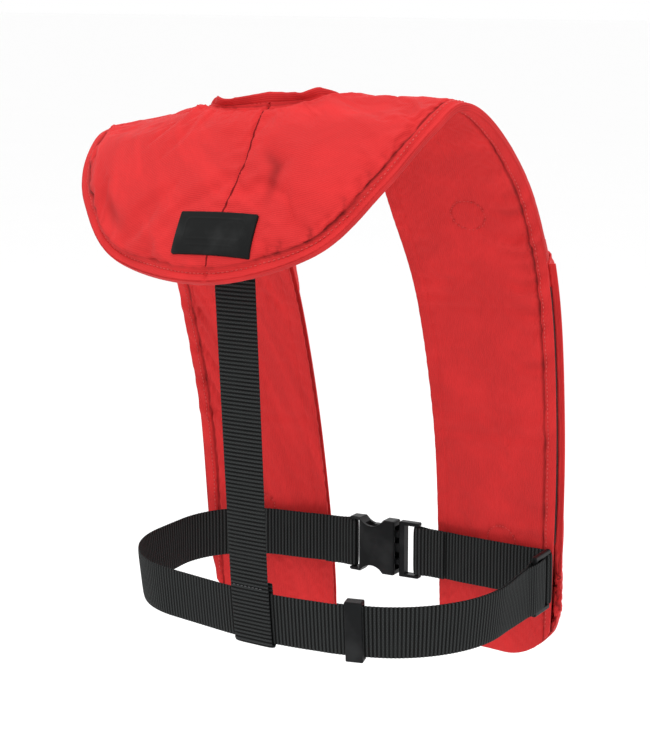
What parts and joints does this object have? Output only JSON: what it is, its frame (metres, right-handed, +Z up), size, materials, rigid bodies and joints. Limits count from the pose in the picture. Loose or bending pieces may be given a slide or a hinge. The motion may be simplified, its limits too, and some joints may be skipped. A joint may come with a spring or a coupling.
{
  "type": "inflatable life jacket",
  "caption": "Horseshoe inflatable life jacket, packed flat in red covers, with an adjustable black waist belt, side-squeeze buckle and manual gas inflator.",
  "frame": {"origin": "shoulder seat in the middle of the neck opening, where the jacket rests on the wearer's shoulders", "axes": "+Z up, -Y the way the wearer faces, +X the wearer's left"},
  "size_m": [0.3252, 0.2963, 0.4465],
  "materials": {
    "red_nylon": "matt woven nylon with a fine vertical rib",
    "red_liner": "matt woven nylon",
    "yellow_bladder": "coated cloth, slight sheen",
    "black_webbing": "ribbed polyester webbing",
    "black_plastic": "moulded acetal, satin",
    "hook_tape": "matt hook and loop tape",
    "badge_rubber": "matt moulded rubber",
    "cylinder_steel": "plated steel",
    "manifold_brass": "machined brass",
    "green_clip": "moulded plastic",
    "pull_tab_red": "moulded plastic",
    "pull_cord": "braided cord",
    "valve_white": "moulded plastic",
    "whistle_orange": "moulded plastic"
  },
  "bodies": {
    "jacket": {"inner_panel": "red_liner", "yoke_cover": "red_nylon", "neck_binding": "red_nylon", "badge_patch": "badge_rubber", "bladder": "yellow_bladder", "closure_tape_left": "hook_tape", "closure_tape_right": "hook_tape", "retainer_disc_upper_left": "hook_tape", "retainer_disc_upper_right": "hook_tape", "retainer_disc_lower_left": "hook_tape", "retainer_disc_lower_right": "hook_tape", "back_strap": "black_webbing", "waist_belt": "black_webbing", "front_belt_right": "black_webbing", "tri_glide": "black_plastic", "buckle_socket": "black_plastic", "inflator_body": "black_plastic", "lever_pin": "cylinder_steel", "bladder_manifold": "manifold_brass", "oral_tube": "black_plastic", "whistle": "whistle_orange"},
    "buckle_plug": {"buckle_plug": "black_plastic"},
    "co2_cylinder": {"co2_cylinder": "cylinder_steel"},
    "dust_cap": {"dust_cap": "yellow_bladder"},
    "firing_pin": {"firing_pin": "cylinder_steel"},
    "front_cover_left": {"front_cover_left": "red_nylon"},
    "front_cover_right": {"front_cover_right": "red_nylon"},
    "manifold_nut": {"manifold_nut": "manifold_brass"},
    "manual_lever": {"manual_lever": "pull_tab_red"},
    "prong_lower": {"prong_lower": "black_plastic"},
    "prong_upper": {"prong_upper": "black_plastic"},
    "pull_tab": {"pull_tab": "pull_tab_red", "pull_cord": "pull_cord"},
    "status_clip": {"status_clip": "green_clip"},
    "strap_keeper": {"strap_keeper": "black_plastic"},
    "valve_poppet": {"valve_poppet": "valve_white"}
  },
  "joints": [
    {"name": "front_cover_left_hinge", "type": "hinge", "parent": "jacket", "child": "front_cover_left", "pos_m": [0.05031, -0.13581, -0.27092], "axis": [-0.0126, -0.2091, -0.9778], "range_deg": [0, 90]},
    {"name": "front_cover_right_hinge", "type": "hinge", "parent": "jacket", "child": "front_cover_right", "pos_m": [-0.05031, -0.13581, -0.26678], "axis": [-0.0123, 0.2028, 0.9791], "range_deg": [0, 90]},
    {"name": "buckle_release", "type": "slide", "parent": "jacket", "child": "buckle_plug", "axis": [-1, 0, 0], "range_m": [0, 0.026], "deforming": ["front_belt_right"]},
    {"name": "prong_upper_squeeze", "type": "hinge", "parent": "buckle_plug", "child": "prong_upper", "pos_m": [-0.02, -0.1445, -0.334], "axis": [0, 1, 0], "range_deg": [0, 6], "stiffness_Nm_per_rad": 0.4},
    {"name": "prong_lower_squeeze", "type": "hinge", "parent": "buckle_plug", "child": "prong_lower", "pos_m": [-0.02, -0.1445, -0.356], "axis": [0, -1, 0], "range_deg": [0, 6], "stiffness_Nm_per_rad": 0.4},
    {"name": "keeper_slide_on_belt", "type": "hinge", "parent": "jacket", "child": "strap_keeper", "pos_m": [-0.02853, -0.21328, -0.34989], "axis": [0, 0, 1], "range_deg": [-9, 0.8]},
    {"name": "pull_tab_pull", "type": "slide", "parent": "jacket", "child": "pull_tab", "axis": [0.0247, -0.1663, -0.9858], "range_m": [0, 0.02], "stiffness_N_per_m": 40, "deforming": ["pull_cord"]},
    {"name": "manual_lever_turn", "type": "hinge", "parent": "jacket", "child": "manual_lever", "pos_m": [-0.09219, -0.17112, -0.35093], "axis": [-0.1511, -0.9753, 0.1608], "range_deg": [0, 46]},
    {"name": "firing_pin_strike", "type": "slide", "parent": "jacket", "child": "firing_pin", "axis": [-0.0247, 0.1663, 0.9858], "range_m": [0, 0.0034]},
    {"name": "status_clip_release", "type": "slide", "parent": "jacket", "child": "status_clip", "axis": [-0.9882, 0.145, -0.0492], "range_m": [0, 0.014]},
    {"name": "co2_cylinder_unscrew", "type": "hinge", "parent": "jacket", "child": "co2_cylinder", "pos_m": [-0.09283, -0.16679, -0.3253], "axis": [-0.0247, 0.1663, 0.9858], "continuous": true},
    {"name": "manifold_nut_unscrew", "type": "hinge", "parent": "jacket", "child": "manifold_nut", "pos_m": [-0.11193, -0.17589, -0.33439], "axis": [-0.1511, -0.9753, 0.1608], "continuous": true},
    {"name": "valve_poppet_press", "type": "slide", "parent": "jacket", "child": "valve_poppet", "axis": [-0.0164, -0.2531, -0.9673], "range_m": [0, 0.003], "stiffness_N_per_m": 150},
    {"name": "dust_cap_pull_off", "type": "slide", "parent": "jacket", "child": "dust_cap", "axis": [0.0164, 0.2531, 0.9673], "range_m": [0, 0.016]}
  ],
  "couplings": [
    {"joint": "manual_lever_turn", "follows": "pull_tab_pull", "rad_per_m": 40.143},
    {"joint": "firing_pin_strike", "follows": "pull_tab_pull", "ratio": 0.15}
  ]
}
